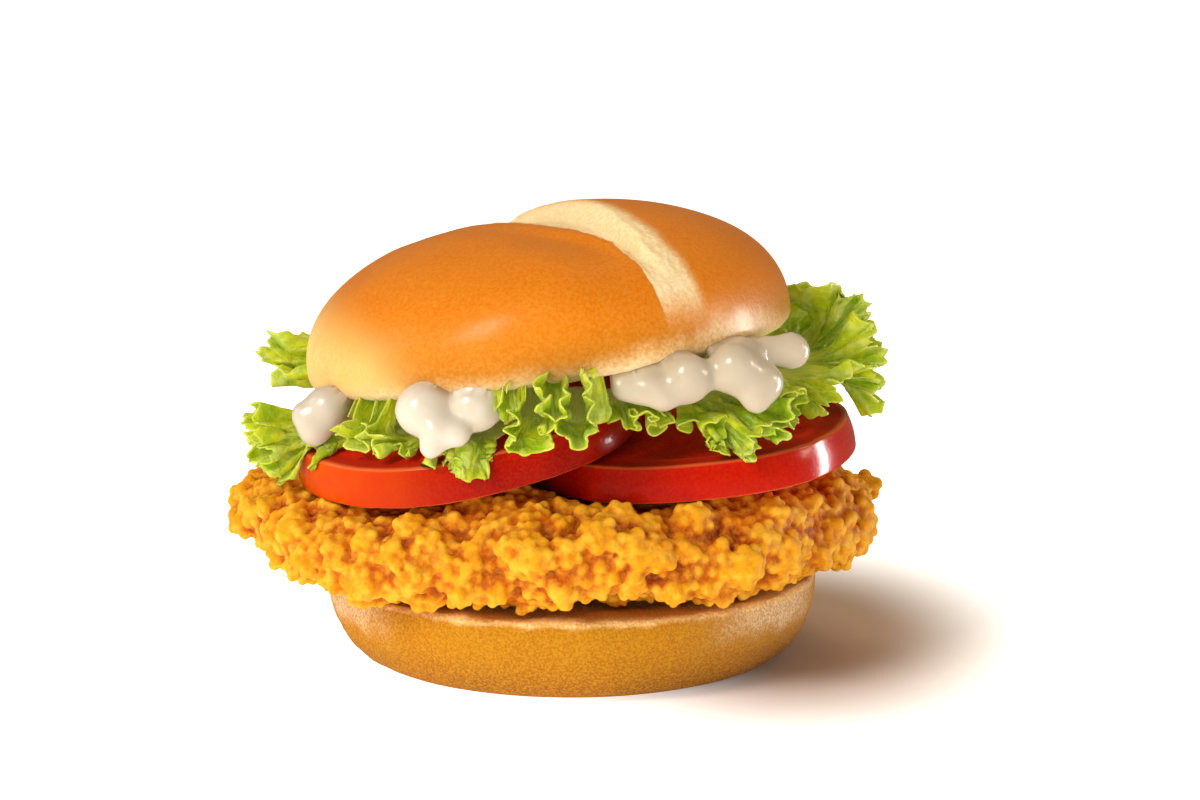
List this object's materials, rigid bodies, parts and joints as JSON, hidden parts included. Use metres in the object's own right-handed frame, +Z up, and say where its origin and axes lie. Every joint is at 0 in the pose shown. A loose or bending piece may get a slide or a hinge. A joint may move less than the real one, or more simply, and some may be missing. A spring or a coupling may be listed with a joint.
{
  "type": "chicken burger",
  "caption": "Chicken burger: a split bun around a craggy breaded chicken patty, tomato slices, frilly lettuce and mayonnaise.",
  "frame": {"origin": "middle of the bottom bun's flat underside", "axes": "+Z up through the stack, -Y is the front that shows the mayonnaise and both tomato slices, +X to the right seen from the front"},
  "size_m": [0.141, 0.1167, 0.0927],
  "materials": {
    "bread": "baked crust, glossy golden brown on the dome, pale at the cut edge",
    "breading": "craggy fried crumb, golden with orange crevices",
    "tomato": "wet red skin and flesh",
    "lettuce": "thin bright green leaf with pale margins",
    "mayonnaise": "glossy thick white sauce"
  },
  "bodies": {
    "root": {"bun_heel": "bread", "bun_crown": "bread", "chicken_patty": "breading", "tomato_slice_right": "tomato", "tomato_slice_left": "tomato", "mayonnaise_left": "mayonnaise", "mayonnaise_front": "mayonnaise", "mayonnaise_right": "mayonnaise", "lettuce_back": "lettuce", "lettuce_back_right": "lettuce", "lettuce_left": "lettuce", "lettuce_left_back": "lettuce", "lettuce_front_dip": "lettuce", "lettuce_front_left": "lettuce", "lettuce_under_right": "lettuce", "lettuce_front_right": "lettuce", "lettuce_front_middle": "lettuce", "lettuce_right": "lettuce"}
  },
  "joints": []
}
